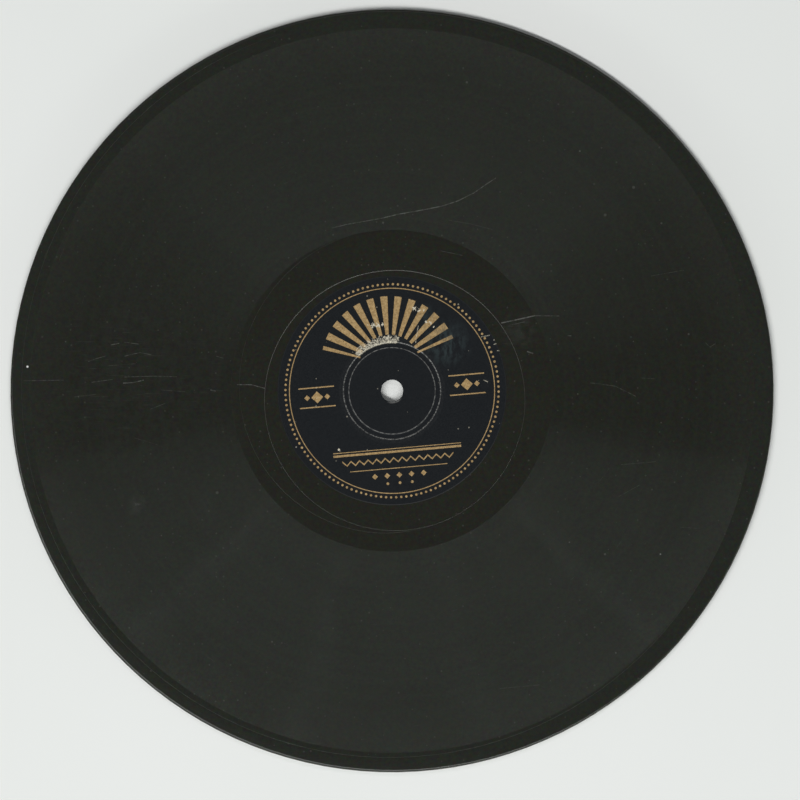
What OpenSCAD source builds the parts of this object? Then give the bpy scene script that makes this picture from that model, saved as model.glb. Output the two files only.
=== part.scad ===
// A 25 cm shellac gramophone record, built up from the layers that are pressed together to make one.
// It lies flat: +Z is up, and the origin is under the spindle hole on the plane of the lower playing face.
// Seen from above, +X is to the right and +Y to the top of the front label.

/* [Disc] */
// Diameter of the record
disc_d = 250; // [246:0.5:256]
// Thickness between the two playing faces
disc_t = 2.2; // [2:0.05:2.6]
// Diameter of the spindle hole
hole_d = 7.24; // [7.1:0.02:7.5]
// Radius that rounds the upper and lower edges of the rim
edge_r = 0.9; // [0.5:0.05:0.95]

/* [Layers] */
// Thickness of each fine playing surface
surface_t = 0.45; // [0.4:0.01:0.55]
// Thickness of the paper sheet under each playing surface
paper_t = 0.12; // [0.08:0.01:0.2]

/* [Label] */
// Diameter of the paper label
label_d = 75; // [70:0.5:78]
// Thickness of the label paper
label_t = 0.1; // [0.06:0.01:0.14]
// Depth of the label's face below the playing face
label_sink = 0.04; // [0.02:0.01:0.06]
// Gap between the label and its seat, at its edge and below it
label_gap = 0.02; // [0.01:0.01:0.05]
// Diameter of the press ring at its inner crease
press_ring_d = 28.6; // [26:0.1:32]
// Width of the press ring, from crease to crease
press_ring_w = 1.7; // [1:0.1:2.4]
// Depth of the press ring below the label's face
press_ring_depth = 0.12; // [0.06:0.01:0.14]

/* [Recorded groove] */
// Plain rim between the edge of the record and the first recorded turn
rim_margin = 6.4; // [4.6:0.1:9]
// Plain band between the label and the last recorded turn
dead_wax_w = 15.2; // [12:0.1:24]
// Distance from one turn of the groove to the next
groove_pitch = 0.28; // [0.24:0.01:0.6]
// Width of the groove at the playing face
groove_w = 0.15; // [0.13:0.005:0.18]
// Depth of the groove
groove_depth = 0.065; // [0.05:0.005:0.08]

/* [Lead-in and run-out] */
// Width of the lead-in and lead-out grooves at the playing face, where they start
lead_w = 0.12; // [0.1:0.005:0.14]
// How much wider the second stretch of a lead groove is than the first, which runs out inside it
lead_widening = 0.04; // [0.02:0.005:0.05]
// Distance from the edge of the record to the start of the lead-in groove
lead_in_margin = 2.5; // [1.6:0.1:3]
// Distance of the lead-in groove from the first recorded turn after its first half turn
lead_in_gap = 1.3; // [0.8:0.1:1.6]
// Angle through which the lead-in groove then bends to close on the first recorded turn
lead_in_bend = 30; // [24:1:45]
// Distance that the lead-out groove moves inwards in its first quarter turn
lead_out_fall = 2.5; // [1.6:0.1:3]
// Distance of the eccentric run-out groove's centre from the spindle hole's
runout_offset = 3.35; // [2.4:0.05:4]
// Least distance of the run-out groove from the edge of the label
runout_gap = 1.8; // [1:0.1:4]
// Width of the run-out groove at the playing face
runout_w = 0.25; // [0.2:0.01:0.3]
// Direction in which the run-out groove's centre lies
runout_angle = -75; // [-180:1:180]

/* [Hidden] */
$fn = 180;
disc_r = disc_d / 2;
hole_r = hole_d / 2;
label_r = label_d / 2;
// How far a cutting shape stands clear of the playing face
cut_over = 0.01;

// Heights of the label's face, of its back and of the seat below it, on the front
label_face_z = disc_t - label_sink;
label_back_z = label_face_z - label_t;
label_seat_z = label_back_z - label_gap;
press_inner_r = press_ring_d / 2;
press_outer_r = press_inner_r + press_ring_w;

// Radii of the recorded turns, from the innermost to the outermost
band_start_r = disc_r - rim_margin;
band_limit_r = label_r + dead_wax_w;
turns = floor((band_start_r - band_limit_r) / groove_pitch);
band_end_r = band_start_r - turns * groove_pitch;
turn_radii = [for (k = [turns : -1 : 0]) band_start_r - k * groove_pitch];

// The grooves before and after the recorded turns are laid out on a line through the spindle hole and the
// centre of the run-out groove: in front of the hole is towards that centre, behind the hole is away from it.
// The lead-in starts behind the hole and runs half a turn to the front. From there a tighter arc closes in
// and ends one pitch outside the first recorded turn.
lead_in_start_r = disc_r - lead_in_margin;
lead_in_front_r = band_start_r + lead_in_gap;
lead_in_end_r = band_start_r + groove_pitch;
lead_in_mid_x = (lead_in_front_r - lead_in_start_r) / 2;
lead_in_mid_r = (lead_in_front_r + lead_in_start_r) / 2;
lead_in_room = (pow(lead_in_front_r, 2) - pow(lead_in_end_r, 2)) / (1 - cos(lead_in_bend));
lead_in_bend_x = (lead_in_front_r - sqrt(pow(lead_in_front_r, 2) - 2 * lead_in_room)) / 2;
lead_in_bend_r = lead_in_front_r - lead_in_bend_x;

// The run-out groove is a ring round its own centre. The lead-out starts behind the hole, one pitch inside
// the last recorded turn, and comes down to that ring in two arcs of a quarter turn. The second arc's centre
// is set so that it ends on the ring.
runout_r = label_r + runout_gap + runout_offset;
lead_out_start_r = band_end_r - groove_pitch;
lead_out_r = lead_out_start_r - lead_out_fall;
lead_out_reach = lead_out_r - lead_out_fall - runout_offset;
lead_out_drop = (lead_out_reach - sqrt(2 * pow(runout_r, 2) - pow(lead_out_reach, 2))) / 2;
// Angle by which the second stretch of a lead groove starts before the end of the first
lead_lap = 1;

// Half-section of the whole disc from its axis to its rounded rim
module disc_section() {
    square([disc_r - edge_r, disc_t]);
    translate([0, edge_r]) square([disc_r, disc_t - 2 * edge_r]);
    for (z = [edge_r, disc_t - edge_r]) {
        translate([disc_r - edge_r, z]) circle(r = edge_r);
    }
}

// Half-section of one layer of the disc between two heights, from the spindle hole to the rim
module layer_section(low_z, high_z) {
    intersection() {
        disc_section();
        translate([hole_r, low_z]) square([disc_r, high_z - low_z]);
    }
}

// Turns a piece of the front over to the rear of the record
module turned_over() {
    translate([0, 0, disc_t]) rotate([180, 0, 0]) children();
}

// Line of the label's face or underside from one radius to another, dipping at the press ring
function label_line(from_r, to_r, z) = [
    [from_r, z],
    [press_inner_r, z],
    [press_inner_r + press_ring_depth, z - press_ring_depth],
    [press_outer_r - press_ring_depth, z - press_ring_depth],
    [press_outer_r, z],
    [to_r, z]
];

// The same points in the opposite order
function reversed(points) = [for (i = [len(points) - 1 : -1 : 0]) points[i]];

// Half-section of what is pressed out of the playing face to seat the label
module label_seat_section() {
    polygon(concat(
        [[0, disc_t + cut_over], [label_r + label_gap, disc_t + cut_over]],
        reversed(label_line(0, label_r + label_gap, label_seat_z))
    ));
}

// Half-section of V grooves of one width at the given radii, which run from small to large.
// All grooves have the same wall angle, so a wider one is deeper.
module groove_section(radii, width) {
    depth = groove_depth * width / groove_w;
    over_w = width / 2 * (1 + cut_over / depth);
    top_z = disc_t + cut_over;
    polygon(concat(
        [[radii[0] - over_w, top_z + cut_over]],
        [for (r = radii) each [[r - over_w, top_z], [r, disc_t - depth], [r + over_w, top_z]]],
        [[radii[len(radii) - 1] + over_w, top_z + cut_over]]
    ));
}

// One arc of groove round a centre of its own
module groove_arc(centre, radius, width, from = 0, sweep = 360) {
    translate(centre) rotate_extrude(angle = sweep, start = from) groove_section([radius], width);
}

// Two arcs of a lead groove, each given as [centre, radius, start angle, sweep]. The second is wider, and
// starts a little early, so that the first runs out inside it.
module lead_groove(first, second) {
    groove_arc(first[0], first[1], lead_w, first[2], first[3]);
    groove_arc(second[0], second[1], lead_w + lead_widening, second[2] - lead_lap, second[3] + lead_lap);
}

// The grooves that lead the needle in at the rim and out to the run-out ring by the label
module lead_grooves() {
    half = 180;
    quarter = 90;
    rotate([0, 0, runout_angle]) {
        lead_groove(
            [[lead_in_mid_x, 0], lead_in_mid_r, half, half],
            [[lead_in_bend_x, 0], lead_in_bend_r, 0, lead_in_bend]
        );
        lead_groove(
            [[-lead_out_fall, 0], lead_out_r, half, quarter],
            [[-lead_out_fall, -lead_out_drop], lead_out_r - lead_out_drop, half + quarter, quarter]
        );
        groove_arc([runout_offset, 0], runout_r, runout_w);
    }
}

// Fine shellac layer with the seat of the label and the grooves pressed into it
module playing_surface() {
    difference() {
        rotate_extrude() difference() {
            layer_section(disc_t - surface_t, disc_t);
            label_seat_section();
            groove_section(turn_radii, groove_w);
        }
        lead_grooves();
    }
}

// Paper label, creased by the press ring
module label() {
    rotate_extrude() polygon(concat(
        label_line(hole_r, label_r, label_face_z),
        reversed(label_line(hole_r, label_r, label_back_z))
    ));
}

module core_disc() {
    color("#3a3229") rotate_extrude() layer_section(surface_t + paper_t, disc_t - surface_t - paper_t);
}

module rear_paper_sheet() {
    color("#8a7350") rotate_extrude() layer_section(surface_t, surface_t + paper_t);
}

module front_paper_sheet() {
    color("#8a7350") rotate_extrude() layer_section(disc_t - surface_t - paper_t, disc_t - surface_t);
}

module rear_playing_surface() {
    color("#262621") turned_over() playing_surface();
}

module front_playing_surface() {
    color("#262621") playing_surface();
}

module rear_label() {
    color("#1e2023") turned_over() label();
}

module front_label() {
    color("#1e2023") label();
}

core_disc();
rear_paper_sheet();
front_paper_sheet();
rear_playing_surface();
front_playing_surface();
rear_label();
front_label();
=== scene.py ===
# %% [markdown]
# # A shellac record
#
# A 25 cm gramophone record lies on a pale table and is looked at from straight above. It is a sandwich: a
# coarse core, a sheet of paper on each side of it, a fine playing surface on each sheet and a paper label
# pressed into the middle of each surface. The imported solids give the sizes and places. The pieces made here
# follow them and add what solids leave out, above all the groove as the one unbroken spiral that it really
# is.

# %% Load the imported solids
import math

import bmesh
import bpy
import numpy as np
from mathutils import Matrix, Quaternion, Vector


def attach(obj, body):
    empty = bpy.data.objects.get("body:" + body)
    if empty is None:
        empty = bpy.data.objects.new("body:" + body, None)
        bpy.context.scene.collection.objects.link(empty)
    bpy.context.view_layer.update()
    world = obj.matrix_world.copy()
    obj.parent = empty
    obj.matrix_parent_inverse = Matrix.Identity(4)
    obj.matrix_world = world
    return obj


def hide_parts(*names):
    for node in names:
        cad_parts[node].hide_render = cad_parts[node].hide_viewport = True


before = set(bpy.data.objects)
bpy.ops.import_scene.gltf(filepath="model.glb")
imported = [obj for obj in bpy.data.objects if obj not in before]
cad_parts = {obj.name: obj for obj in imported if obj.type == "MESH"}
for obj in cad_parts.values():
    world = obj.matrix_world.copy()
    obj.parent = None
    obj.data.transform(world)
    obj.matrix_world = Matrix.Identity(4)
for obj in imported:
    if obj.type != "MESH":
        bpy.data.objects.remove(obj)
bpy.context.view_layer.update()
MM = 0.001


print("solids:", sorted(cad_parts))

# %% [markdown]
# ## Sizes
#
# Everything below is thought of in millimetres, as a presser would, and is turned into metres once, when a
# piece is finished. The heights are those of the layers, from the table up.

# %% Sizes in millimetres
DISC_R = 125.0
DISC_T = 2.2
HOLE_R = 3.62
EDGE_R = 0.9
SURFACE_T = 0.45
PAPER_T = 0.12
LABEL_R = 37.5
LABEL_T = 0.1
LABEL_SINK = 0.04
LABEL_GAP = 0.02
CREASE_IN_R = 14.3
CREASE_OUT_R = 16.0
CREASE_DEPTH = 0.12
STEPS = 128
TURN_START = math.radians(-75)
print("one step round the rim is", round(math.tau * DISC_R / STEPS, 2), "mm")

# %% [markdown]
# ## Turning a half-section
#
# Each piece is round, so it is made as on a lathe: a half-section is drawn in the X-Z plane and spun once
# about Z. A cylinder cut down with booleans would leave stray faces, while a spin keeps clean rings. All
# pieces use the same number of steps and start at the same angle, so their facets line up where they meet.
# The start angle is the direction in which the run-out groove is off centre, because that is where the
# spiral has its seam.


# %% Helpers that turn a half-section
def half_section(bm, points):
    """A closed chain of vertices and edges through (radius, height) points."""
    verts = [bm.verts.new((r, 0, z)) for r, z in points]
    edges = [bm.edges.new(pair) for pair in zip(verts, verts[1:] + verts[:1])]
    return verts, edges


def spin_round(bm, geom, merge):
    """Spin a half-section once about Z, and merge its end with its start or leave it open."""
    return bmesh.ops.spin(
        bm, geom=geom, cent=(0, 0, 0), axis=(0, 0, 1), angle=math.tau, steps=STEPS, use_merge=merge
    )


def turned(points):
    """A mesh spun from a half-section, closed and facing outwards."""
    bm = bmesh.new()
    verts, edges = half_section(bm, points)
    spin_round(bm, verts + edges, merge=True)
    bmesh.ops.recalc_face_normals(bm, faces=bm.faces)
    return bm


def rim_arc(low_z, high_z, count):
    """Points on the rounded rim between two heights, from the lower to the upper."""
    found = []
    for z in np.linspace(low_z, high_z, count):
        middle = min(max(z, EDGE_R), DISC_T - EDGE_R)
        found.append((DISC_R - EDGE_R + math.sqrt(EDGE_R**2 - (z - middle) ** 2), z))
    return found


print("a half-section is spun in", STEPS, "steps")

# %% [markdown]
# A finished piece is shaded smooth, apart from its corners. A wide level face beside a narrow slope would
# catch the slope's shading all the way across, so the edges round such faces can be marked sharp as well.
# The piece is then turned to its start angle, scaled to metres and handed to the frame, in place of the
# solid that it stands for.


# %% Helpers that shade and finish a piece
SHARP_ANGLE = math.radians(28)
# a face counts as level when its normal rises at least this much
LEVEL = 0.9999


def keep_flat(faces):
    """Sharp edges round the level faces, so that no shading runs over them from the slopes beside them."""
    for face in faces:
        if abs(face.normal.z) > LEVEL:
            for edge in face.edges:
                edge.smooth = False


def finish_piece(bm, name, node, material, over=False):
    """Put a mesh in its place, in metres, and hand it to the frame. With over, it is turned to the rear."""
    to_start = Matrix.Rotation(TURN_START, 3, "Z")
    bmesh.ops.rotate(bm, verts=bm.verts, cent=(0, 0, 0), matrix=to_start)
    if over:
        half_turn = Matrix.Rotation(math.pi, 3, "X")
        bmesh.ops.rotate(bm, verts=bm.verts, cent=(0, 0, DISC_T / 2), matrix=half_turn)
    bmesh.ops.scale(bm, verts=bm.verts, vec=(MM, MM, MM))
    for face in bm.faces:
        face.smooth = True
    for edge in bm.edges:
        if edge.calc_face_angle(0.0) > SHARP_ANGLE:
            edge.smooth = False
    mesh = bpy.data.meshes.new(name)
    bm.to_mesh(mesh)
    bm.free()
    mesh.materials.append(material)
    piece = bpy.data.objects.new(name, mesh)
    bpy.context.scene.collection.objects.link(piece)
    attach(piece, "root")
    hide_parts(node)
    mesh.calc_loop_triangles()
    print(name, "has", len(mesh.loop_triangles), "triangles")


print("edges over", round(math.degrees(SHARP_ANGLE)), "degrees stay sharp")

# %% [markdown]
# ## Shader helpers
#
# The finishes are procedural: every mark is worked out from the place of a point on the record. A few short
# functions add a node, fill its sockets and hand back its output, so that a finish reads as a list of
# steps.


# %% Small functions that add shader nodes
def fill(tree, socket, value):
    """Link a socket, or set its value."""
    if isinstance(value, bpy.types.NodeSocket):
        tree.links.new(value, socket)
    else:
        socket.default_value = value


def add(tree, kind, values=(), out=0, **settings):
    """Add a node with these settings, fill its sockets in order and return one output."""
    node = tree.nodes.new(kind)
    for key, value in settings.items():
        setattr(node, key, value)
    for socket, value in zip(node.inputs, values):
        fill(tree, socket, value)
    return node.outputs[out]


def calc(tree, operation, *values):
    return add(tree, "ShaderNodeMath", values, operation=operation)


def vector(tree, operation, *values):
    out = "Value" if operation in ("LENGTH", "DOT_PRODUCT") else "Vector"
    return add(tree, "ShaderNodeVectorMath", values, out, operation=operation)


def fade(tree, value, low, high, least=0.0, most=1.0):
    """Smooth step from least, where the value is at low, to most, where it is at high."""
    values = (value, low, high, least, most)
    return add(tree, "ShaderNodeMapRange", values, interpolation_type="SMOOTHSTEP")


def noise(tree, point, scale, detail=3.0, roughness=0.5, out="Fac"):
    node = tree.nodes.new("ShaderNodeTexNoise")
    sockets = {"Vector": point, "Scale": scale, "Detail": detail, "Roughness": roughness}
    for name, value in sockets.items():
        fill(tree, node.inputs[name], value)
    return node.outputs[out]


def tint(tree, factor, under, upper):
    """Mix two colours."""
    # a Mix node has sockets of every kind: those for colours are inputs 6 and 7 and output 2
    node = tree.nodes.new("ShaderNodeMix")
    node.data_type = "RGBA"
    for index, value in ((0, factor), (6, under), (7, upper)):
        fill(tree, node.inputs[index], value)
    return node.outputs[2]


def most_of(tree, masks):
    """The strongest of several masks at each point."""
    total = masks[0]
    for mask in masks[1:]:
        total = calc(tree, "MAXIMUM", total, mask)
    return total


def new_group(name, inputs, outputs):
    """A node group with named sockets. Returns it with its own input and output sockets."""
    tree = bpy.data.node_groups.new(name, "ShaderNodeTree")
    for label, kind in inputs.items():
        tree.interface.new_socket(label, in_out="INPUT", socket_type="NodeSocket" + kind)
    for label in outputs:
        tree.interface.new_socket(label, in_out="OUTPUT", socket_type="NodeSocketFloat")
    return tree, tree.nodes.new("NodeGroupInput").outputs, tree.nodes.new("NodeGroupOutput").inputs


def use(tree, group, **values):
    """Place a group in a material and fill its sockets by name."""
    node = tree.nodes.new("ShaderNodeGroup")
    node.node_tree = group
    for name, value in values.items():
        fill(tree, node.inputs[name], value)
    return node.outputs


def new_material(name):
    """A material with its Principled shader, and the place of a point on the record in millimetres."""
    material = bpy.data.materials.new(name)
    material.use_nodes = True
    tree = material.node_tree
    place = add(tree, "ShaderNodeTexCoord", out="Object")
    point = vector(tree, "MULTIPLY", place, (1 / MM, 1 / MM, 1 / MM))
    return material, tree, tree.nodes["Principled BSDF"], point


def raise_surface(tree, shader, height, strength, distance):
    """Bump a surface by a height map."""
    node = tree.nodes.new("ShaderNodeBump")
    node.inputs["Strength"].default_value = strength
    node.inputs["Distance"].default_value = distance
    fill(tree, node.inputs["Height"], height)
    fill(tree, shader.inputs["Normal"], node.outputs[0])


print("shader helpers are ready")

# %% [markdown]
# ## Effects that several finishes share
#
# Marks on a record are of few kinds: rings round the spindle, straight strokes, specks and rubbed patches.
# Each kind is a node group, built once. A ring is the distance from the axis held against a middle and a
# width. A stroke is the distance from a line between two points. Specks are the middles of a cell pattern,
# of which a random share is kept.


# %% Node groups for polar place, rings, strokes, specks and rubbing
def build_polar():
    """Distance from the spindle and angle in turns."""
    tree, given, made = new_group("polar place", {"Point": "Vector"}, ["Radius", "Turn"])
    flat = vector(tree, "MULTIPLY", given["Point"], (1, 1, 0))
    fill(tree, made["Radius"], vector(tree, "LENGTH", flat))
    parts = tree.nodes.new("ShaderNodeSeparateXYZ")
    fill(tree, parts.inputs[0], flat)
    angle = calc(tree, "ARCTAN2", parts.outputs["Y"], parts.outputs["X"])
    fill(tree, made["Turn"], calc(tree, "DIVIDE", angle, math.tau))
    return tree


def build_ring():
    """1 on a ring of this middle radius and width, fading at its edges."""
    inputs = {"Radius": "Float", "Middle": "Float", "Width": "Float", "Edge": "Float"}
    tree, given, made = new_group("ring", inputs, ["Mask"])
    off = calc(tree, "ABSOLUTE", calc(tree, "SUBTRACT", given["Radius"], given["Middle"]))
    half = calc(tree, "MULTIPLY", given["Width"], 0.5)
    fill(tree, made["Mask"], fade(tree, off, calc(tree, "ADD", half, given["Edge"]), half))
    return tree


def build_stroke():
    """1 on a straight stroke, which is given by its two directions and its middle and reach along each."""
    inputs = {name: "Vector" for name in ("Point", "Along", "Across")}
    inputs.update({name: "Float" for name in ("Middle", "Reach", "Offset", "Half Width")})
    tree, given, made = new_group("stroke", inputs, ["Mask"])
    along = vector(tree, "DOT_PRODUCT", given["Point"], given["Along"])
    across = vector(tree, "DOT_PRODUCT", given["Point"], given["Across"])
    on_length = calc(tree, "COMPARE", along, given["Middle"], given["Reach"])
    on_width = calc(tree, "COMPARE", across, given["Offset"], given["Half Width"])
    fill(tree, made["Mask"], calc(tree, "MULTIPLY", on_length, on_width))
    return tree


def build_specks():
    """Small round spots in a random share of the cells of a flat pattern."""
    inputs = {"Point": "Vector", "Scale": "Float", "Size": "Float", "Share": "Float"}
    tree, given, made = new_group("specks", inputs, ["Mask"])
    cells = tree.nodes.new("ShaderNodeTexVoronoi")
    cells.voronoi_dimensions = "2D"
    fill(tree, cells.inputs["Vector"], given["Point"])
    fill(tree, cells.inputs["Scale"], given["Scale"])
    shade = tree.nodes.new("ShaderNodeSeparateColor")
    fill(tree, shade.inputs[0], cells.outputs["Color"])
    kept = calc(tree, "LESS_THAN", shade.outputs["Red"], given["Share"])
    size = calc(tree, "MULTIPLY", shade.outputs["Green"], given["Size"])
    outside = calc(tree, "MULTIPLY", size, 1.3)
    inside = calc(tree, "MULTIPLY", size, 0.7)
    spot = fade(tree, cells.outputs["Distance"], outside, inside)
    fill(tree, made["Mask"], calc(tree, "MULTIPLY", spot, kept))
    return tree


def build_rubbing():
    """Blotches where a surface is rubbed: Share is how much of it is."""
    inputs = {"Point": "Vector", "Scale": "Float", "Share": "Float", "Soft": "Float"}
    tree, given, made = new_group("rubbing", inputs, ["Mask"])
    value = noise(tree, given["Point"], given["Scale"], 5.0, 0.62)
    level = fade(tree, given["Share"], 0.0, 1.0, 0.75, 0.25)
    low = calc(tree, "SUBTRACT", level, given["Soft"])
    high = calc(tree, "ADD", level, given["Soft"])
    fill(tree, made["Mask"], fade(tree, value, low, high))
    return tree


POLAR, RING, STROKE = build_polar(), build_ring(), build_stroke()
SPECKS, RUBBING = build_specks(), build_rubbing()


def ring(tree, radius, middle, width, edge=0.08):
    return use(tree, RING, Radius=radius, Middle=middle, Width=width, Edge=edge)["Mask"]


def stroke(tree, point, start, end, width):
    start, end = Vector((*start, 0)), Vector((*end, 0))
    way = (end - start).normalized()
    side = Vector((-way.y, way.x, 0))
    middle = (start + end) / 2
    values = {"Point": point, "Along": way, "Across": side}
    values.update({"Middle": middle.dot(way), "Reach": (end - start).length / 2})
    values.update({"Offset": middle.dot(side), "Half Width": width / 2})
    return use(tree, STROKE, **values)["Mask"]


def patches(tree, point, spots):
    """Soft round patches, each a centre, a size and a strength."""
    flat = vector(tree, "MULTIPLY", point, (1, 1, 0))
    masks = []
    for centre, size, strength in spots:
        off = vector(tree, "LENGTH", vector(tree, "SUBTRACT", flat, (*centre, 0)))
        masks.append(fade(tree, off, size, 0.2 * size, 0.0, strength))
    return most_of(tree, masks)


print("groups:", [g.name for g in (POLAR, RING, STROKE, SPECKS, RUBBING)])

# %% [markdown]
# ## Shellac
#
# Shellac loaded with slate powder and lamp black is an olive black with a dull polish. Needles leave the
# recorded band a little greyer in rings, because loud passages wear more than quiet ones. Handling adds
# scratches across the grooves, fine rings of scuffing, grey smudges and dust. The wear of the front follows
# what shows on the real one, and the rear gets scratches of its own.


# %% Masks for scratches and dust
# a scratch is drawn wider than it is, because its torn lips catch the light too
SCRATCH_SPREAD = 1.8


def scratch_marks(tree, point, shifted, scratches):
    """Scratches of (points, width, strength), broken up along their length."""
    broken = fade(tree, noise(tree, shifted, 1.1, 1.0), 0.35, 0.6, 0.3, 1.0)
    marks = []
    for points, width, strength in scratches:
        for start, end in zip(points, points[1:]):
            mark = stroke(tree, point, start, end, SCRATCH_SPREAD * width)
            marks.append(calc(tree, "MULTIPLY", mark, strength))
    return calc(tree, "MULTIPLY", most_of(tree, marks), broken)


def dust_marks(tree, shifted):
    """A few large grains of dust and many fine, fainter ones."""
    coarse_dust = use(tree, SPECKS, Point=shifted, Scale=0.11, Size=0.05, Share=0.035)["Mask"]
    fine_dust = use(tree, SPECKS, Point=shifted, Scale=0.42, Size=0.13, Share=0.16)["Mask"]
    faint = calc(tree, "MULTIPLY", fine_dust, 0.5)
    return calc(tree, "MULTIPLY", calc(tree, "MAXIMUM", coarse_dust, faint), 0.22)


print("a scratch is drawn", SCRATCH_SPREAD, "times as wide as it is")

# %% The shellac finish
BAND_IN_R, BAND_OUT_R, BAND_EDGE = 52.7, 118.6, 0.2
RIM_BLACK = (0.0174, 0.0192, 0.0148, 1)
DEAD_WAX_BLACK = (0.0160, 0.0166, 0.0122, 1)
BAND_BLACK = (0.0181, 0.0194, 0.0148, 1)
WORN_BLACK = (0.0205, 0.0216, 0.0168, 1)
# lighter black of the outermost turns, a painted sheen
OUTER_SHEEN_BLACK = (0.0217, 0.0230, 0.0180, 1)
HAIRLINE_GREY = (0.05, 0.05, 0.045, 1)
SMUDGE_GREY = (0.045, 0.047, 0.043, 1)
SCUFF_GREY = (0.075, 0.077, 0.07, 1)
SCRATCH_GREY = (0.12, 0.122, 0.112, 1)
# grey of dust, which also paints the pale glint along the groove
DUST_AND_GLINT_GREY = (0.2, 0.198, 0.185, 1)
CHIP_WHITE = (0.8, 0.8, 0.77, 1)


def shellac(name, scratches, smudges, scuffs, chips, seed):
    """scratches are (points, width, strength), the other marks (centre, size, strength), in millimetres."""
    material, tree, shader, point = new_material(name)
    shifted = vector(tree, "ADD", point, (seed, 2 * seed, 0))
    place = use(tree, POLAR, Point=point)
    radius = place["Radius"]
    inside = fade(tree, radius, BAND_OUT_R + BAND_EDGE, BAND_OUT_R)
    band = calc(tree, "MULTIPLY", fade(tree, radius, BAND_IN_R - BAND_EDGE, BAND_IN_R), inside)

    # rings of wear: noise read along the radius, with a slow drift round the turn
    drift = calc(tree, "MULTIPLY", noise(tree, shifted, 0.02, 0.0), 0.4)
    loud = noise(tree, add(tree, "ShaderNodeCombineXYZ", (radius, drift, seed)), 0.45, 4.0, 0.65)
    rings = calc(tree, "MULTIPLY", fade(tree, loud, 0.42, 0.75), band)
    # painted sheen: the outermost turns are made lighter, as the sheen of the band grows towards the rim
    outer_sheen = calc(tree, "MULTIPLY", fade(tree, radius, 102.0, 118.0), band)

    # hairlines round the record and scuffs across it: noise pulled long
    sweep = calc(tree, "MULTIPLY", place["Turn"], 60.0)
    fine = add(tree, "ShaderNodeCombineXYZ", (calc(tree, "MULTIPLY", radius, 6.0), sweep, seed))
    hair = fade(tree, noise(tree, fine, 1.0, 2.0), 0.68, 0.8)
    pulled = noise(tree, vector(tree, "MULTIPLY", shifted, (0.16, 2.6, 1)), 1.0, 3.0, 0.6)
    scuff = calc(tree, "MULTIPLY", fade(tree, pulled, 0.6, 0.75), patches(tree, point, scuffs))

    # scratches, smudges and dust, of which some lies in the groove; the groove is also painted pale as a
    # glint of its walls
    scratch = scratch_marks(tree, point, shifted, scratches)
    cloud = use(tree, RUBBING, Point=shifted, Scale=0.35, Share=0.5, Soft=0.12)["Mask"]
    smudge = calc(tree, "MULTIPLY", patches(tree, point, smudges), cloud)
    groove_dust_and_glint = add(tree, "ShaderNodeAttribute", out="Fac", attribute_name="groove_dust_and_glint")
    dust_and_glint = calc(tree, "MAXIMUM", dust_marks(tree, shifted), groove_dust_and_glint)

    # the colour, from the stock up to what lies on it
    base = tint(tree, inside, RIM_BLACK, DEAD_WAX_BLACK)
    for mask, colour in ((band, BAND_BLACK), (rings, WORN_BLACK), (outer_sheen, OUTER_SHEEN_BLACK)):
        base = tint(tree, mask, base, colour)
    mottle = noise(tree, shifted, 1.0, 2.0, 0.6, out="Color")
    shade = vector(tree, "MULTIPLY_ADD", mottle, (1.1, 1.1, 1.1), (0.45, 0.45, 0.45))
    base = vector(tree, "MULTIPLY", base, shade)
    faint = ((hair, 0.25, HAIRLINE_GREY), (smudge, 0.5, SMUDGE_GREY), (scuff, 0.4, SCUFF_GREY))
    for mask, share, colour in faint:
        base = tint(tree, calc(tree, "MULTIPLY", mask, share), base, colour)
    chip = patches(tree, point, chips)
    for mask, colour in ((scratch, SCRATCH_GREY), (dust_and_glint, DUST_AND_GLINT_GREY), (chip, CHIP_WHITE)):
        base = tint(tree, mask, base, colour)
    fill(tree, shader.inputs["Base Color"], base)

    # the polish, dulled by smudges and hairlines, and a fine grit with the scratches cut into it
    rough = fade(tree, noise(tree, shifted, 0.08, 1.0), 0.3, 0.7, 0.16, 0.19)
    rough = calc(tree, "ADD", rough, calc(tree, "MULTIPLY", most_of(tree, [smudge, hair]), 0.12))
    fill(tree, shader.inputs["Roughness"], rough)
    shader.inputs["Specular IOR Level"].default_value = 0.27
    cut = calc(tree, "MULTIPLY", scratch, 2.0)
    grit = calc(tree, "SUBTRACT", noise(tree, shifted, 2.2, 4.0, 0.6), cut)
    raise_surface(tree, shader, grit, 0.04, 0.03 * MM)
    return material


print("the recorded band is", round(BAND_OUT_R - BAND_IN_R, 1), "mm wide")

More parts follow.
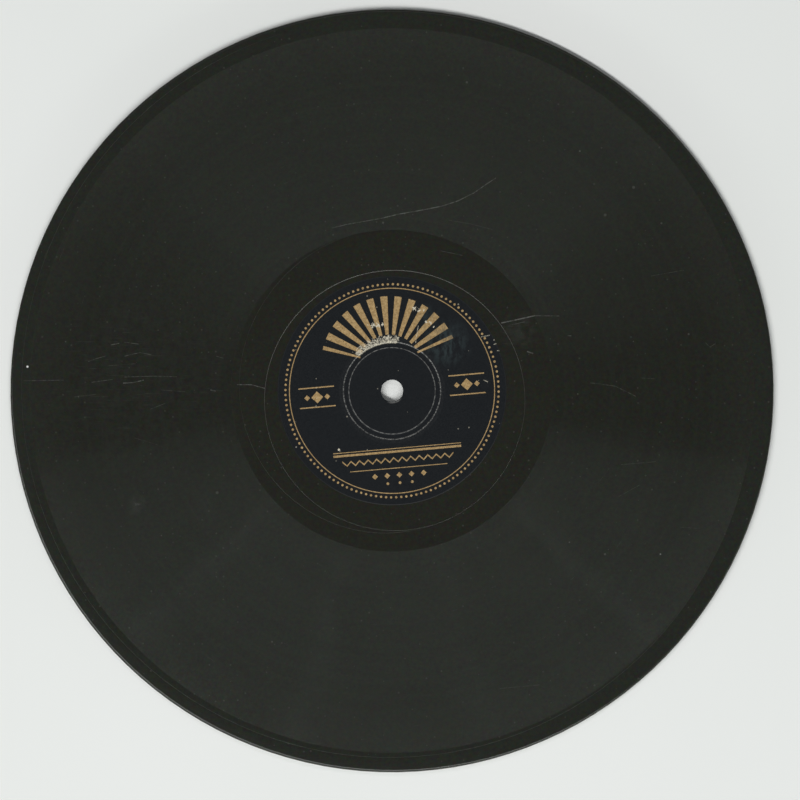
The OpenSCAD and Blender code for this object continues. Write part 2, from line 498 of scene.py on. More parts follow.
# %% The marks of the two sides
# the long curved scratch above the label, then those at the right and at the left
FRONT_SCRATCHES = [
    ([(-19.7, 53.3), (-14.8, 54.5), (-8.5, 55.6), (-3.0, 56.6)], 0.12, 0.55),
    ([(-3.0, 56.6), (1.9, 57.8), (10.5, 59.3), (16.4, 60.5), (21.6, 62.2)], 0.14, 0.9),
    ([(21.6, 62.2), (26.8, 64.8), (30.8, 67.6), (34.0, 69.7)], 0.13, 0.8),
    ([(18.5, 55.9), (26.0, 54.6), (32.9, 52.8)], 0.14, 0.14),
    ([(15.7, 45.9), (23.2, 44.3)], 0.1, 0.3),
    ([(35.8, 22.2), (42.3, 23.6), (46.7, 24.6)], 0.2, 0.75),
    ([(46.7, 24.6), (54.8, 24.5)], 0.14, 0.45),
    ([(38.2, 21.4), (43.5, 22.6)], 0.1, 0.4),
    ([(44.2, 12.9), (46.2, 12.2)], 0.25, 0.5),
    ([(57.5, 18.1), (58.7, 18.0)], 0.15, 0.7),
    ([(64.9, 2.6), (67.8, 2.3), (73.1, 1.5), (76.0, 0.1), (79.8, -1.8)], 0.12, 0.4),
    ([(81.7, 4.2), (86.1, 3.9)], 0.1, 0.25),
    ([(84.8, 37.6), (95.6, 39.5)], 0.1, 0.3),
    ([(102.6, 15.8), (104.1, 14.3), (105.8, 15.4)], 0.1, 0.35),
    ([(75.0, -24.2), (86.4, -23.2)], 0.1, 0.25),
    ([(74.3, -34.6), (81.2, -30.8)], 0.1, 0.22),
    ([(71.2, -25.3), (68.1, -29.4)], 0.1, 0.15),
    ([(94.3, -44.7), (100.9, -45.1)], 0.1, 0.22),
    ([(35.3, -97.5), (48.3, -96.3)], 0.1, 0.25),
    ([(-120.5, 3.3), (-107.5, 3.5)], 0.12, 0.45),
    ([(-99.5, 9.6), (-96.6, 10.6), (-93.8, 11.4)], 0.12, 0.45),
    ([(-92.1, 15.0), (-89.3, 15.6)], 0.15, 0.7),
    ([(-87.6, 15.9), (-83.0, 15.3)], 0.12, 0.5),
    ([(-87.6, 11.3), (-85.9, 11.8), (-82.5, 12.5), (-78.8, 11.8)], 0.13, 0.5),
    ([(-98.4, 2.8), (-91.6, 3.7)], 0.12, 0.45),
    ([(-88.1, 2.5), (-84.7, 2.7), (-81.3, 3.5)], 0.16, 0.8),
    ([(-87.6, 4.5), (-78.5, 4.8), (-70.5, 4.6)], 0.11, 0.45),
    ([(-79.1, -6.0), (-74.0, -4.0)], 0.1, 0.3),
    ([(-84.4, -15.4), (-76.7, -17.7)], 0.1, 0.25),
    ([(-104.0, -2.0), (-97.0, -1.2)], 0.1, 0.25),
    ([(-93.0, 8.2), (-84.0, 8.9)], 0.1, 0.25),
    ([(-75.7, 0.3), (-67.7, -0.3)], 0.1, 0.25),
    ([(-59.5, 0.3), (-57.8, -0.1)], 0.18, 0.6),
    ([(-57.5, 11.3), (-55.2, 10.7)], 0.12, 0.4),
    ([(-50.7, 2.0), (-46.2, 2.0), (-41.6, 0.8)], 0.14, 0.65),
]
FRONT_SMUDGES = [((-83.5, -37.4), 4.5, 0.8), ((42.0, 20.0), 8.0, 0.5), ((-84.0, 2.0), 48.0, 0.2)]
FRONT_SCUFFS = [((-93.0, 6.0), 34.0, 1.0), ((-60.0, 4.0), 22.0, 0.6), ((40.0, 18.0), 12.0, 0.7)]
FRONT_CHIPS = [((-119.4, 7.9), 0.5, 1.0), ((-106.9, 16.1), 0.35, 0.06), ((87.9, -53.5), 0.35, 0.25)]
FRONT_CHIPS += [((73.3, -85.8), 0.35, 0.1), ((58.1, -49.6), 0.35, 0.1), ((61.5, 78.5), 0.4, 0.1)]
REAR_SCRATCHES = [
    ([(-60.0, 44.0), (-48.0, 53.5), (-36.0, 61.0)], 0.12, 0.6),
    ([(52.0, -30.0), (66.0, -34.5), (78.0, -37.0)], 0.12, 0.6),
    ([(10.0, -70.0), (14.0, -101.0)], 0.1, 0.4),
    ([(-98.0, -12.0), (-74.0, -20.0)], 0.1, 0.45),
]
REAR_SMUDGES = [((64.0, 50.0), 7.0, 0.7), ((-41.0, -66.0), 5.0, 0.6)]
REAR_SCUFFS = [((70.0, 20.0), 30.0, 0.9), ((-50.0, -70.0), 24.0, 0.7)]
REAR_CHIPS = [((88.0, 62.0), 0.4, 0.8)]
front_shellac = shellac("shellac_front", FRONT_SCRATCHES, FRONT_SMUDGES, FRONT_SCUFFS, FRONT_CHIPS, 3.0)
rear_shellac = shellac("shellac_rear", REAR_SCRATCHES, REAR_SMUDGES, REAR_SCUFFS, REAR_CHIPS, 71.0)
print("shellac has", len(front_shellac.node_tree.nodes), "nodes")

# %% [markdown]
# ## The playing surface and its groove
#
# One groove runs from the rim to the label: half a turn of lead-in, 235 recorded turns, half a turn of
# lead-out and a run-out ring that is off centre, which trips the brake of the machine. A displacement or a
# bump map would lose the V walls that give a record its two bright fans, so the groove is real mesh.
# Modelling a spiral by hand would need a screw of hundreds of turns. Instead, a half-section with one V for
# each turn is spun without closing it, and then every V is drawn inwards as it goes round, so that the end
# of each turn meets the start of the next. Merging the doubles at the seam then joins all turns into one
# spiral.

# %% The path of the groove
GROOVE_W, LEAD_W, RUNOUT_W = 0.15, 0.12, 0.25
DEPTH_OF_WIDTH = 0.065 / 0.15
RUNOUT_R, RUNOUT_OFFSET = 42.65, 3.35
RIM_FLAT_R = DISC_R - EDGE_R
TURNS = 237
RUNOUT_LIP_R = RUNOUT_R + RUNOUT_OFFSET + RUNOUT_W / 2
# radius of the groove by the number of turns from the seam: lead-in, recorded turns, lead-out
PATH = [(0.0, RIM_FLAT_R), (0.02, RIM_FLAT_R - 0.1), (0.5, 122.5), (0.75, 121.1), (1.0, 119.9)]
PATH += [(1.06, 119.3), (1.12, 118.7), (1.25, 118.6), (236.5, 52.75), (236.54, 52.1), (236.615, 51.0)]
PATH += [(236.75, 49.55), (236.845, 48.15), (236.93, 46.95), (236.98, 46.3), (237.0, RUNOUT_LIP_R)]
# width of the groove, how much of its full depth it has, and how pale it is painted, partly as dust and
# partly as a painted glint
WIDTHS = [(0.0, 0.0), (0.02, 0.02), (0.495, 0.02), (0.51, LEAD_W), (1.06, LEAD_W), (1.2, GROOVE_W)]
WIDTHS += [(236.5, GROOVE_W), (236.55, LEAD_W), (236.97, LEAD_W), (237.0, 0.0)]
DEPTHS = [(0.0, 0.0), (0.495, 0.0), (0.496, 1.0), (236.98, 1.0), (237.0, 0.0)]
DUST_AND_GLINT = [(0.5, 0.0), (0.55, 0.22), (1.06, 0.22), (1.2, 0.0), (236.5, 0.0), (236.55, 0.12), (237.0, 0.3)]


def along(table, turn):
    """Values of a path table at these turns."""
    return np.interp(turn, *zip(*table))


pitch = (along(PATH, 2.0) - along(PATH, 3.0)).item()
length = math.tau * along(PATH, np.linspace(0.5, TURNS, 20000)).mean() * (TURNS - 0.5) / 1000
print("pitch", round(pitch, 4), "mm, groove", round(length, 1), "m long")

# %% [markdown]
# Each vertex of the half-section carries the number of its turn and its side of the V in two integer
# layers, which the spin copies to every vertex that it makes. That tells the next step where each one
# belongs.


# %% Spin the comb
# the V's first stand this far apart, only so that no two are in one place
COMB_STEP = 0.1


def label_line(z):
    """Line of the label or of its seat, from its outer crease in to the hole."""
    dip = z - CREASE_DEPTH
    return [
        (CREASE_OUT_R, z),
        (CREASE_OUT_R - CREASE_DEPTH, dip),
        (CREASE_IN_R + CREASE_DEPTH, dip),
        (CREASE_IN_R, z),
        (HOLE_R, z),
    ]


def spun_comb():
    """The half-section of the surface, spun without closing it, and its last row of vertices."""
    bm = bmesh.new()
    turn_of = bm.verts.layers.int.new("turn")
    side_of = bm.verts.layers.int.new("side")
    # how pale the groove is painted: partly dust, partly a painted glint of its walls
    bm.verts.layers.float.new("groove_dust_and_glint")
    under_z = DISC_T - SURFACE_T
    seat_z = DISC_T - LABEL_SINK - LABEL_T - LABEL_GAP
    seat_r = LABEL_R + LABEL_GAP
    grooves = [(turn, side) for turn in range(TURNS + 1) for side in (1, 0, -1)]
    outer = [(HOLE_R, under_z), *rim_arc(under_z, DISC_T, 9)]
    teeth = [(RIM_FLAT_R - COMB_STEP * (i + 1), DISC_T) for i in range(len(grooves))]
    inner = [(seat_r, DISC_T), (seat_r, seat_z), *label_line(seat_z)]
    verts, edges = half_section(bm, outer + teeth + inner)
    for vert in verts:
        vert[turn_of] = -1
    for vert, (turn, side) in zip(verts[len(outer):], grooves):
        vert[turn_of], vert[side_of] = turn, side
    spun = spin_round(bm, verts + edges, merge=False)
    return bm, {item for item in spun["geom_last"] if isinstance(item, bmesh.types.BMVert)}


comb, last_row = spun_comb()
print("the comb has", TURNS + 1, "grooves and", len(comb.verts), "vertices")

# %% [markdown]
# Now every vertex of a V moves to its place on the path. The last V is the run-out ring, a circle round its
# own centre. Its groove is painted pale, a little all round as dust and most where it passes closest to the
# label, a painted highlight for the glint of its walls. The lips and the bottom of the groove stay sharp,
# also where it runs out to nothing.


# %% Draw the comb into a spiral
MERGE_DIST = 0.0005


def draw_spiral(bm, last_row):
    turn_of, side_of = bm.verts.layers.int["turn"], bm.verts.layers.int["side"]
    dust_and_glint_of = bm.verts.layers.float["groove_dust_and_glint"]
    cut = [v for v in bm.verts if v[turn_of] >= 0]
    angle = np.array([math.tau if v in last_row else math.atan2(v.co.y, v.co.x) % math.tau for v in cut])
    turn = np.array([v[turn_of] for v in cut])
    side = np.array([v[side_of] for v in cut])
    place = turn + angle / math.tau
    ringed = turn == TURNS
    aside = RUNOUT_OFFSET * np.sin(angle)
    eccentric = RUNOUT_OFFSET * np.cos(angle) + np.sqrt(RUNOUT_R**2 - aside**2)
    radius = np.where(ringed, eccentric, along(PATH, place))
    width = np.where(ringed, RUNOUT_W, along(WIDTHS, place))
    depth = np.where(ringed, 1.0, along(DEPTHS, place)) * width * DEPTH_OF_WIDTH
    radius = radius + side * width / 2
    height = DISC_T - np.where(side == 0, depth, 0)
    # painted highlight: the run-out groove is paler where it passes closest to the label, with a little dust
    # all round
    rubbed_and_glint = 0.15 + 0.85 * (0.5 - 0.5 * np.cos(angle)) ** 2
    dust_and_glint = np.where(side == 0, np.where(ringed, rubbed_and_glint, along(DUST_AND_GLINT, place)), 0)
    for v, r, a, z, d in zip(cut, radius, angle, height, dust_and_glint):
        v.co = (r * math.cos(a), r * math.sin(a), z)
        v[dust_and_glint_of] = d
    bmesh.ops.remove_doubles(bm, verts=bm.verts, dist=MERGE_DIST)
    bmesh.ops.recalc_face_normals(bm, faces=bm.faces)
    for edge in bm.edges:
        first, second = edge.verts
        if first[turn_of] >= 0 and second[turn_of] >= 0 and first[side_of] == second[side_of]:
            edge.smooth = False
    keep_flat([face for face in bm.faces if all(v[turn_of] >= 0 for v in face.verts)])


draw_spiral(comb, last_row)
open_edges = sum(1 for e in comb.edges if not e.is_manifold)
print("spiral surface:", len(comb.verts), "vertices,", open_edges, "open edges")
finish_piece(comb.copy(), "front_surface", "front_playing_surface", front_shellac)
finish_piece(comb, "rear_surface", "rear_playing_surface", rear_shellac, over=True)

# %% [markdown]
# ## Core and paper sheets
#
# Between the fine surfaces lie two sheets of brown paper and a coarse core. Only their edges show, as thin
# lines round the rim and in the hole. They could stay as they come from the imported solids, but those have
# flat facets, and the rim catches the light. So they are turned again with the same steps as the surfaces.


# %% The finishes and the pieces of the inside
FLECK_BROWN = (0.11, 0.095, 0.07, 1)


def coarse(name, dark, light, scale, roughness):
    """A filled, grainy material: two tones, flecks and a fine grit."""
    material, tree, shader, point = new_material(name)
    grain = noise(tree, point, scale, 6.0, 0.7)
    base = tint(tree, fade(tree, grain, 0.35, 0.65), dark, light)
    fleck = use(tree, SPECKS, Point=point, Scale=2.2, Size=0.16, Share=0.3)["Mask"]
    base = tint(tree, calc(tree, "MULTIPLY", fleck, 0.5), base, FLECK_BROWN)
    fill(tree, shader.inputs["Base Color"], base)
    rough = fade(tree, grain, 0.3, 0.7, roughness - 0.08, roughness + 0.08)
    fill(tree, shader.inputs["Roughness"], rough)
    raise_surface(tree, shader, grain, 0.3, 0.05 * MM)
    return material


core_stock = coarse("core_stock", (0.012, 0.011, 0.009, 1), (0.026, 0.022, 0.017, 1), 3.0, 0.5)
kraft = coarse("kraft_paper", (0.03, 0.022, 0.013, 1), (0.075, 0.055, 0.033, 1), 6.0, 0.75)


def layer(low_z, high_z, count):
    """Half-section of one layer from the hole to the rounded rim."""
    return [(HOLE_R, high_z), (HOLE_R, low_z), *rim_arc(low_z, high_z, count)]


sheet_z = SURFACE_T + PAPER_T
finish_piece(turned(layer(sheet_z, DISC_T - sheet_z, 13)), "core", "core_disc", core_stock)
front_sheet = turned(layer(DISC_T - sheet_z, DISC_T - SURFACE_T, 3))
finish_piece(front_sheet.copy(), "front_sheet", "front_paper_sheet", kraft)
finish_piece(front_sheet, "rear_sheet", "rear_paper_sheet", kraft, over=True)

# %% [markdown]
# ## Label paper
#
# The label is coated navy-black paper, printed in bronze and pressed in with the record. The die leaves a
# ring round the hole, and its two creases are rubbed pale. Bronze ink sits in blotches: it is worn through
# in places and its edges are ragged. The ornament is plain geometry of the period: a beaded border, a fan
# of rays over the hole, short rules with lozenges beside it, and rules, a zigzag and dots below. It is
# drawn with the same rings and strokes as the scratches, on a place that is turned by the few degrees by
# which the real print sits askew.

# %% Shapes of the ornament
PRINT_TILT = math.radians(5)
PRINT_EDGE = 0.08


def lozenge(tree, point, centre, size):
    """1 inside a square that stands on its corner."""
    off = vector(tree, "ABSOLUTE", vector(tree, "SUBTRACT", point, (*centre, 0)))
    reach = vector(tree, "DOT_PRODUCT", off, (1, 1, 0))
    return fade(tree, reach, size + PRINT_EDGE, size)


def dot(tree, point, centre, size):
    off = vector(tree, "LENGTH", vector(tree, "SUBTRACT", point, (*centre, 0)))
    return fade(tree, off, size + PRINT_EDGE, size)


def fan_of_rays(tree, point, centre, inner_r, outer_r, rays, span):
    """Tapering rays round a centre, within a span of turns either side of straight up."""
    off = vector(tree, "SUBTRACT", point, (*centre, 0))
    place = use(tree, POLAR, Point=off)
    from_up = calc(tree, "SUBTRACT", place["Turn"], 0.25)
    folded = calc(tree, "PINGPONG", calc(tree, "ADD", from_up, 0.5 / rays), 0.5 / rays)
    ray = fade(tree, calc(tree, "MULTIPLY", folded, 2.0 * rays), 0.46, 0.54)
    inside = fade(tree, calc(tree, "ABSOLUTE", from_up), span + 0.001, span)
    reach = ring(tree, place["Radius"], (inner_r + outer_r) / 2, outer_r - inner_r)
    return calc(tree, "MULTIPLY", calc(tree, "MULTIPLY", ray, inside), reach)


def beads(tree, point, middle_r, count, size):
    """A ring of evenly spaced dots round the spindle."""
    place = use(tree, POLAR, Point=point)
    folded = calc(tree, "PINGPONG", place["Turn"], 0.5 / count)
    aside = calc(tree, "MULTIPLY", folded, math.tau * middle_r)
    outward = calc(tree, "SUBTRACT", place["Radius"], middle_r)
    off = vector(tree, "LENGTH", add(tree, "ShaderNodeCombineXYZ", (aside, outward)))
    return fade(tree, off, size + PRINT_EDGE, size)


def zigzag(tree, point, y, half, step, width):
    """A level zigzag line, reaching this far to either side."""
    parts = tree.nodes.new("ShaderNodeSeparateXYZ")
    fill(tree, parts.inputs[0], point)
    wave = calc(tree, "SUBTRACT", calc(tree, "PINGPONG", parts.outputs["X"], step), step / 2)
    rise = calc(tree, "SUBTRACT", parts.outputs["Y"], y)
    off = calc(tree, "ABSOLUTE", calc(tree, "SUBTRACT", rise, wave))
    inside = fade(tree, calc(tree, "ABSOLUTE", parts.outputs["X"]), half + 0.05, half)
    return calc(tree, "MULTIPLY", fade(tree, off, 0.7 * width + 0.1, 0.7 * width), inside)


print("the print is turned by", round(math.degrees(PRINT_TILT)), "degrees")

# %% Ornament of the two labels
BORDER_R, BORDER_BEADS = 34.9, 132


def border(tree, point, radius):
    return [beads(tree, point, BORDER_R, BORDER_BEADS, 0.34), ring(tree, radius, 33.6, 0.2)]


def front_ornament(tree, point, radius):
    masks = border(tree, point, radius)
    masks.append(fan_of_rays(tree, point, (0, 8.5), 10.0, 22.5, 30, 0.2))
    for side in (-1, 1):
        for y in (-3.2, 3.2):
            masks.append(stroke(tree, point, (side * 18.8, y), (side * 30.5, y), 0.4))
        for x, size in ((21.3, 0.9), (24.6, 1.9), (27.9, 0.9)):
            masks.append(lozenge(tree, point, (side * x, 0), size))
    for y, half, width in ((-18.9, 21.0, 0.25), (-19.9, 21.0, 0.7), (-25.3, 16.0, 0.25)):
        masks.append(stroke(tree, point, (-half, y), (half, y), width))
    masks.append(zigzag(tree, point, -22.6, 18.2, 1.4, 0.3))
    for x in (-8, -4, 0, 4, 8):
        masks.append(lozenge(tree, point, (x, -27.6), 0.9))
    for x in (-4, 0, 4):
        masks.append(dot(tree, point, (x, -30.2), 0.4))
    return most_of(tree, masks)


def rear_ornament(tree, point, radius):
    masks = border(tree, point, radius) + [ring(tree, radius, 19.0, 0.3)]
    for side in (-1, 1):
        masks.append(stroke(tree, point, (side * 21.0, 0), (side * 31.5, 0), 0.4))
    return most_of(tree, masks)


print("the beads of the border are", round(math.tau * BORDER_R / BORDER_BEADS, 2), "mm apart")

# %% [markdown]
# The damage is what makes the label an old one: creases rubbed to pale paper, a torn patch of white fibres
# above the press ring, some flecks and a bluish smear. Fibres are noise pulled long in one direction and
# cut off hard.


# %% Masks for rubbed and torn paper and for painted highlights
def rubbed_places_and_glints(tree, flat, shifted, radius, fibre):
    """Rubbed creases of the press ring, and painted highlights on the label's lower edge and under the hole.
    """
    dotted = use(tree, RUBBING, Point=shifted, Scale=1.8, Share=0.5, Soft=0.08)["Mask"]
    steady = fade(tree, noise(tree, shifted, 0.9, 3.0, 0.6), 0.36, 0.64, 0.1, 0.55)
    inner = calc(tree, "MULTIPLY", ring(tree, radius, CREASE_IN_R - 0.15, 0.14, 0.14), steady)
    outer = ring(tree, radius, CREASE_OUT_R - 0.08, 0.2, 0.14)
    outer = calc(tree, "MULTIPLY", outer, fade(tree, dotted, 0.0, 1.0, 0.12, 0.7))
    shelf = ring(tree, radius, CREASE_OUT_R + 0.75, 0.6, 0.5)
    shelf = calc(tree, "MULTIPLY", shelf, fade(tree, dotted, 0.0, 1.0, 0.0, 0.02))
    # how far a point lies towards the lower side, where the main lamp stands
    low = calc(tree, "DIVIDE", vector(tree, "DOT_PRODUCT", flat, (0.26, -0.97, 0)), radius)
    # painted highlight along the lower edge of the label
    lit_label_edge = ring(tree, radius, LABEL_R - 0.1, 0.2, 0.15)
    lit_label_edge = calc(tree, "MULTIPLY", lit_label_edge, fade(tree, low, 0.5, 0.95, 0.02, 0.09))
    # painted highlight just under the hole, on its lower side
    hole_glint = ring(tree, radius, HOLE_R + 0.3, 0.12, 0.2)
    hole_glint = calc(tree, "MULTIPLY", hole_glint, fade(tree, low, 0.75, 0.98, 0.0, 0.45))
    hole_glint = calc(tree, "MULTIPLY", hole_glint, fade(tree, fibre, 0.35, 0.6, 0.4, 1.0))
    return most_of(tree, [inner, outer, shelf, lit_label_edge, hole_glint])


def torn_fibres(tree, shifted, place, middle, span):
    """Curled fibres outside the press ring, either side of a middle angle in turns."""
    wander = fade(tree, noise(tree, shifted, 0.9, 4.0, 0.7), 0.25, 0.75, -1.6, 1.6)
    ragged = calc(tree, "ADD", place["Radius"], wander)
    wide = fade(tree, ragged, CREASE_OUT_R + 2.1, CREASE_OUT_R + 1.1)
    clear = fade(tree, place["Radius"], CREASE_OUT_R - 0.6, CREASE_OUT_R - 0.2)
    off = calc(tree, "ABSOLUTE", calc(tree, "SUBTRACT", place["Turn"], middle))
    off = calc(tree, "ADD", off, calc(tree, "MULTIPLY", wander, 0.008))
    curls = fade(tree, noise(tree, shifted, 3.0, 5.0, 0.75), 0.42, 0.55)
    curls = calc(tree, "MULTIPLY", curls, fade(tree, off, span, 0.88 * span))
    return calc(tree, "MULTIPLY", calc(tree, "MULTIPLY", wide, clear), curls)


def crumbs(tree, flat, shifted, flecks):
    """Ragged white flecks of (centre, size)."""
    rough = fade(tree, noise(tree, shifted, 2.0, 4.0, 0.7), 0.3, 0.7, -0.6, 1.0)
    masks = []
    for centre, size in flecks:
        off = vector(tree, "LENGTH", vector(tree, "SUBTRACT", flat, (*centre, 0)))
        ragged = calc(tree, "ADD", off, calc(tree, "MULTIPLY", rough, size))
        masks.append(fade(tree, ragged, size, 0.6 * size))
    return masks


print("the press ring is", round(CREASE_OUT_R - CREASE_IN_R, 1), "mm wide")

# %% The label finish
NAVY_DARK, NAVY_LIGHT = (0.0070, 0.0086, 0.0104, 1), (0.0105, 0.0122, 0.0140, 1)
BRONZE_DARK, BRONZE_LIGHT = (0.30, 0.195, 0.085, 1), (0.47, 0.325, 0.155, 1)
# grey of rubbed paper, which also paints the highlights on the label's lower edge and under the hole
RUBBED_AND_GLINT_GREY = (0.30, 0.295, 0.28, 1)
SMEAR_BLUE = (0.036, 0.052, 0.054, 1)
BARE_DARK, BARE_LIGHT = (0.50, 0.44, 0.32, 1), (0.78, 0.73, 0.60, 1)


def label_paper(name, ornament, torn, flecks, strokes, smear, seed):
    """torn is (middle, half-span) in turns of a patch outside the press ring, or None."""
    material, tree, shader, point = new_material(name)
    shifted = vector(tree, "ADD", point, (seed, -seed, 0))
    flat = vector(tree, "MULTIPLY", point, (1, 1, 0))
    place = use(tree, POLAR, Point=point)
    askew = tree.nodes.new("ShaderNodeMapping")
    fill(tree, askew.inputs["Vector"], flat)
    askew.inputs["Rotation"].default_value = (0, 0, -PRINT_TILT)
    printed = ornament(tree, askew.outputs[0], place["Radius"])

    # blotchy bronze ink, worn through in places, on navy paper
    blotch = noise(tree, shifted, 1.3, 5.0, 0.7)
    bronze = tint(tree, fade(tree, blotch, 0.35, 0.68), BRONZE_DARK, BRONZE_LIGHT)
    worn = use(tree, RUBBING, Point=shifted, Scale=1.6, Share=0.3, Soft=0.06)["Mask"]
    ink = calc(tree, "MULTIPLY", printed, fade(tree, worn, 0.0, 1.0, 1.0, 0.35))
    fibre = noise(tree, shifted, 2.6, 6.0, 0.65)
    base = tint(tree, fade(tree, fibre, 0.3, 0.7), NAVY_DARK, NAVY_LIGHT)
    base = tint(tree, ink, base, bronze)
    # rubbed creases, and painted highlights on the label's lower edge and under the hole
    rubbed_and_glint = rubbed_places_and_glints(tree, flat, shifted, place["Radius"], fibre)
    base = tint(tree, rubbed_and_glint, base, RUBBED_AND_GLINT_GREY)

    # bluish smear, then what is bare: pale strokes, flecks, specks and torn fibres
    brushed = noise(tree, vector(tree, "MULTIPLY", shifted, (1.0, 0.45, 1)), 0.6, 4.0, 0.65)
    haze = calc(tree, "MULTIPLY", patches(tree, point, smear), fade(tree, brushed, 0.42, 0.66))
    base = tint(tree, haze, base, SMEAR_BLUE)
    thin = fade(tree, fibre, 0.4, 0.6, 0.1, 0.55)
    spots = [calc(tree, "MULTIPLY", stroke(tree, point, a, b, 0.3), thin) for a, b in strokes]
    spots += crumbs(tree, flat, shifted, flecks)
    specks = use(tree, SPECKS, Point=shifted, Scale=0.3, Size=0.08, Share=0.12)["Mask"]
    spots.append(calc(tree, "MULTIPLY", specks, 0.3))
    if torn:
        spots.append(torn_fibres(tree, shifted, place, *torn))
    bare = most_of(tree, spots)
    base = tint(tree, bare, base, tint(tree, blotch, BARE_DARK, BARE_LIGHT))
    fill(tree, shader.inputs["Base Color"], base)

    # paper is duller and higher where it is bare
    rough = fade(tree, fibre, 0.3, 0.7, 0.36, 0.46)
    rough = calc(tree, "ADD", rough, calc(tree, "MULTIPLY", bare, 0.3))
    fill(tree, shader.inputs["Roughness"], rough)
    shader.inputs["Specular IOR Level"].default_value = 0.12
    nap = calc(tree, "ADD", fibre, calc(tree, "MULTIPLY", bare, 2.0))
    raise_surface(tree, shader, nap, 0.25, 0.06 * MM)
    return material


print("bronze is", round(BRONZE_LIGHT[0] / NAVY_LIGHT[0]), "times as bright as the paper")

# %% The damage of the two labels
FRONT_FLECKS = [((-6.2, 21.5), 0.9), ((-4.6, 21.3), 0.9), ((-3.2, 21.7), 0.6), ((7.4, 26.9), 0.7)]
FRONT_FLECKS += [((8.9, 26.3), 0.6), ((10.5, 26.3), 0.4), ((11.2, 22.6), 0.4), ((12.6, 22.3), 0.6)]
FRONT_FLECKS += [((13.6, 21.0), 0.3), ((-17.3, -19.4), 0.5)]
FRONT_STROKES = [((8.6, 21.3), (7.7, 15.6)), ((29.1, 17.6), (32.0, 18.2)), ((34.4, 13.2), (36.6, 13.0))]
FRONT_STROKES += [((33.2, 16.6), (36.6, 17.6)), ((33.2, 15.1), (36.0, 16.2)), ((29.9, 3.6), (31.4, 2.9))]
FRONT_SMEAR = [((18.0, 15.5), 10.0, 0.6), ((12.0, 24.0), 6.0, 0.35)]
FRONT_TEAR = (0.302, 0.072)
front_paper = label_paper(
    "label_front", front_ornament, FRONT_TEAR, FRONT_FLECKS, FRONT_STROKES, FRONT_SMEAR, 5.0
)
REAR_FLECKS = [((11.0, -22.0), 0.5)]
REAR_STROKES = [((-24.0, -13.0), (-20.0, -15.5))]
REAR_SMEAR = [((-14.0, 20.0), 8.0, 0.5)]
rear_paper = label_paper("label_rear", rear_ornament, None, REAR_FLECKS, REAR_STROKES, REAR_SMEAR, 47.0)
print("label finish has", len(front_paper.node_tree.nodes), "nodes")

# %% [markdown]
# The label itself is a thin turned sheet that follows its seat. Its creases are bevelled, because paper
# bends and doesn't break, and the soft edge catches the light as the real one does.


# %% The two labels
CREASE_BEVEL = 0.04
# two places count as one when they are closer than this
SAME_PLACE = 0.001


def is_fold(edge):
    """True for an edge that runs round at a crease of the press ring."""
    (r1, z1), (r2, z2) = [(math.hypot(v.co.x, v.co.y), v.co.z) for v in edge.verts]
    runs_round = abs(r1 - r2) < SAME_PLACE and abs(z1 - z2) < SAME_PLACE
    return runs_round and CREASE_IN_R - SAME_PLACE < r1 < CREASE_OUT_R + SAME_PLACE


def label_sheet():
    face_z = DISC_T - LABEL_SINK
    back_z = face_z - LABEL_T
    face, back = label_line(face_z), label_line(back_z)
    bm = turned([(LABEL_R, back_z), (LABEL_R, face_z), *face, *reversed(back)])
    folds = [edge for edge in bm.edges if is_fold(edge)]
    bmesh.ops.bevel(
        bm, geom=folds, offset=CREASE_BEVEL, affect="EDGES", segments=2, profile=0.5, material=-1
    )
    bmesh.ops.recalc_face_normals(bm, faces=bm.faces)
    keep_flat(bm.faces)
    return bm


sheet = label_sheet()
finish_piece(sheet.copy(), "front_label_sheet", "front_label", front_paper)
finish_piece(sheet, "rear_label_sheet", "rear_label", rear_paper, over=True)

# %% [markdown]
# ## Table
#
# The record lies on a pale, plain table, which shows through the hole. A large grid does for it, with a
# faint cloud in its colour. It lies a hair below the record, so that the two faces don't share one place.


# %% The table
TABLE_HALF, TABLE_DROP = 4.0, 0.05 * MM
TABLE_DARK, TABLE_LIGHT = (0.825, 0.84, 0.815, 1), (0.855, 0.865, 0.845, 1)


def table_finish():
    material, tree, shader, point = new_material("pale_table")
    cloud = noise(tree, point, 0.004, 3.0)
    base = tint(tree, fade(tree, cloud, 0.3, 0.7), TABLE_DARK, TABLE_LIGHT)
    fill(tree, shader.inputs["Base Color"], base)
    fill(tree, shader.inputs["Roughness"], fade(tree, cloud, 0.3, 0.7, 0.7, 0.8))
    shader.inputs["Specular IOR Level"].default_value = 0.1
    return material


bm = bmesh.new()
bmesh.ops.create_grid(bm, x_segments=8, y_segments=8, size=TABLE_HALF)
bmesh.ops.translate(bm, verts=bm.verts, vec=(0, 0, -TABLE_DROP))
mesh = bpy.data.meshes.new("table")
bm.to_mesh(mesh)
bm.free()
mesh.materials.append(table_finish())
table = bpy.data.objects.new("table", mesh)
bpy.context.scene.collection.objects.link(table)
print("table is", round(table.dimensions.x, 1), "m wide")

# %% [markdown]
# ## Lamps
#
# A glossy black disc mirrors whatever is over it, so the space above stays dim. The main soft lamp stands
# below the picture and to the left: it draws a thin line along the lower rim and leaves a soft shadow at
# the upper right. The walls of the groove lean by about 41 degrees, so what they mirror upwards stands only
# 8 degrees over the table. Five low strips in an arc light the walls in two fans, above and below the
# label, and leave the flat lands dark. The outer two stand lower and are rolled, so that the fans fade out
# softly at the sides.


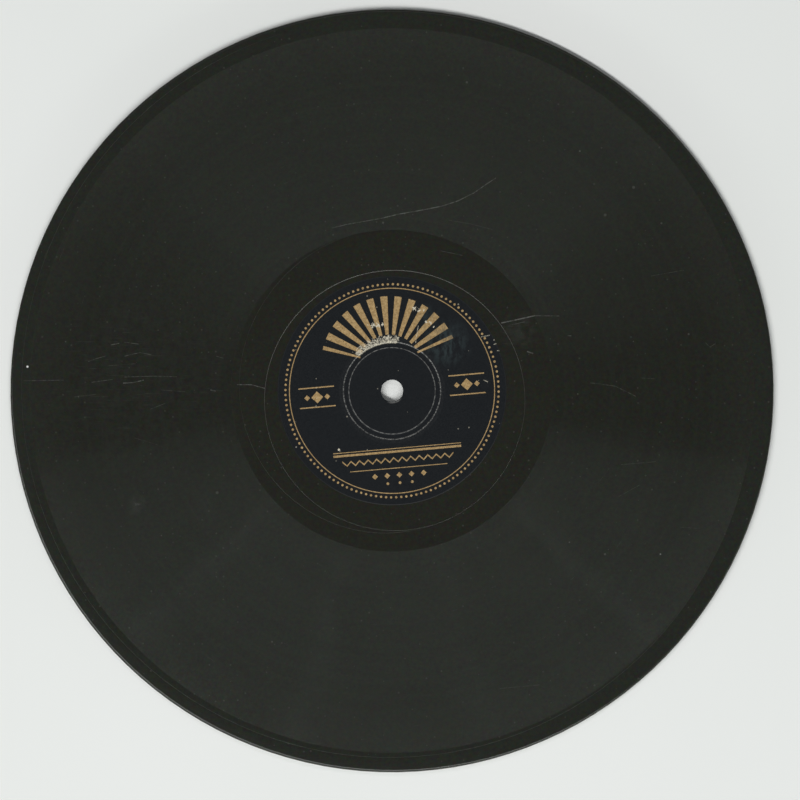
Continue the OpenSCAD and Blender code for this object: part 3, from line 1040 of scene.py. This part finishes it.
# %% The lamps
def soft_lamp(name, place, width, height, watts, colour=(1, 1, 1), roll=0.0):
    """A flat soft lamp that faces the record, rolled by an angle in degrees."""
    data = bpy.data.lights.new(name, "AREA")
    data.shape, data.size, data.size_y = "RECTANGLE", width, height
    data.energy, data.color = watts, colour
    lamp = bpy.data.objects.new(name, data)
    lamp.location = place
    aim = (-Vector(place)).to_track_quat("-Z", "Y")
    lamp.rotation_euler = (aim @ Quaternion((0, 0, 1), math.radians(roll))).to_euler()
    bpy.context.scene.collection.objects.link(lamp)


soft_lamp("main_lamp", (-0.90, -1.82, 3.44), 7.2, 0.9, 184)
soft_lamp("far_lamp", (0.30, 2.10, 3.30), 6.0, 1.2, 18)
STRIP_COLOUR = (0.89, 1.0, 0.95)
STRIP_REACH, STRIP_L, STRIP_H = 2.8, 1.62, 0.24
# direction in degrees, height, watts and roll of each strip
LOW_STRIPS = [(-62, 0.28, 10.5, 5.4), (-31, 0.355, 11.2, 0), (0, 0.355, 11.2, 0)]
LOW_STRIPS += [(31, 0.355, 11.2, 0), (62, 0.28, 10.5, -5.4)]
for side, height, watts, roll in LOW_STRIPS:
    turn = math.radians(side)
    place = (STRIP_REACH * math.sin(turn), -STRIP_REACH * math.cos(turn), height)
    soft_lamp(f"low_strip_{side}", place, STRIP_L, STRIP_H, watts, STRIP_COLOUR, roll)
world = bpy.data.worlds.new("dim_room")
world.use_nodes = True
room = world.node_tree.nodes["Background"]
room.inputs["Color"].default_value = (0.9, 0.95, 1.0, 1)
room.inputs["Strength"].default_value = 0.1
bpy.context.scene.world = world
bpy.context.scene.view_settings.view_transform = "Standard"

# %% [markdown]
# ## Camera
#
# The picture is a scan, which has no perspective to speak of. A long lens from far above comes close to
# that, and it sees every turn of the groove at the same angle, so the sheen of the band is even out to the
# rim. The record lies a few millimetres off the middle of the picture.

# %% The camera, straight above
FRAME_MM = 262.0
LENS, SENSOR = 500.0, 36.0
MIDDLE_X, MIDDLE_Y = 2.61 * MM, -3.016 * MM
camera_data = bpy.data.cameras.new("camera")
camera_data.lens, camera_data.sensor_width = LENS, SENSOR
camera_data.clip_start, camera_data.clip_end = 0.01, 20.0
camera = bpy.data.objects.new("camera", camera_data)
camera.location = (MIDDLE_X, MIDDLE_Y, DISC_T * MM + FRAME_MM * MM * LENS / SENSOR)
bpy.context.scene.collection.objects.link(camera)
bpy.context.scene.camera = camera
print("camera is", round(camera.location.z, 3), "m above the table")
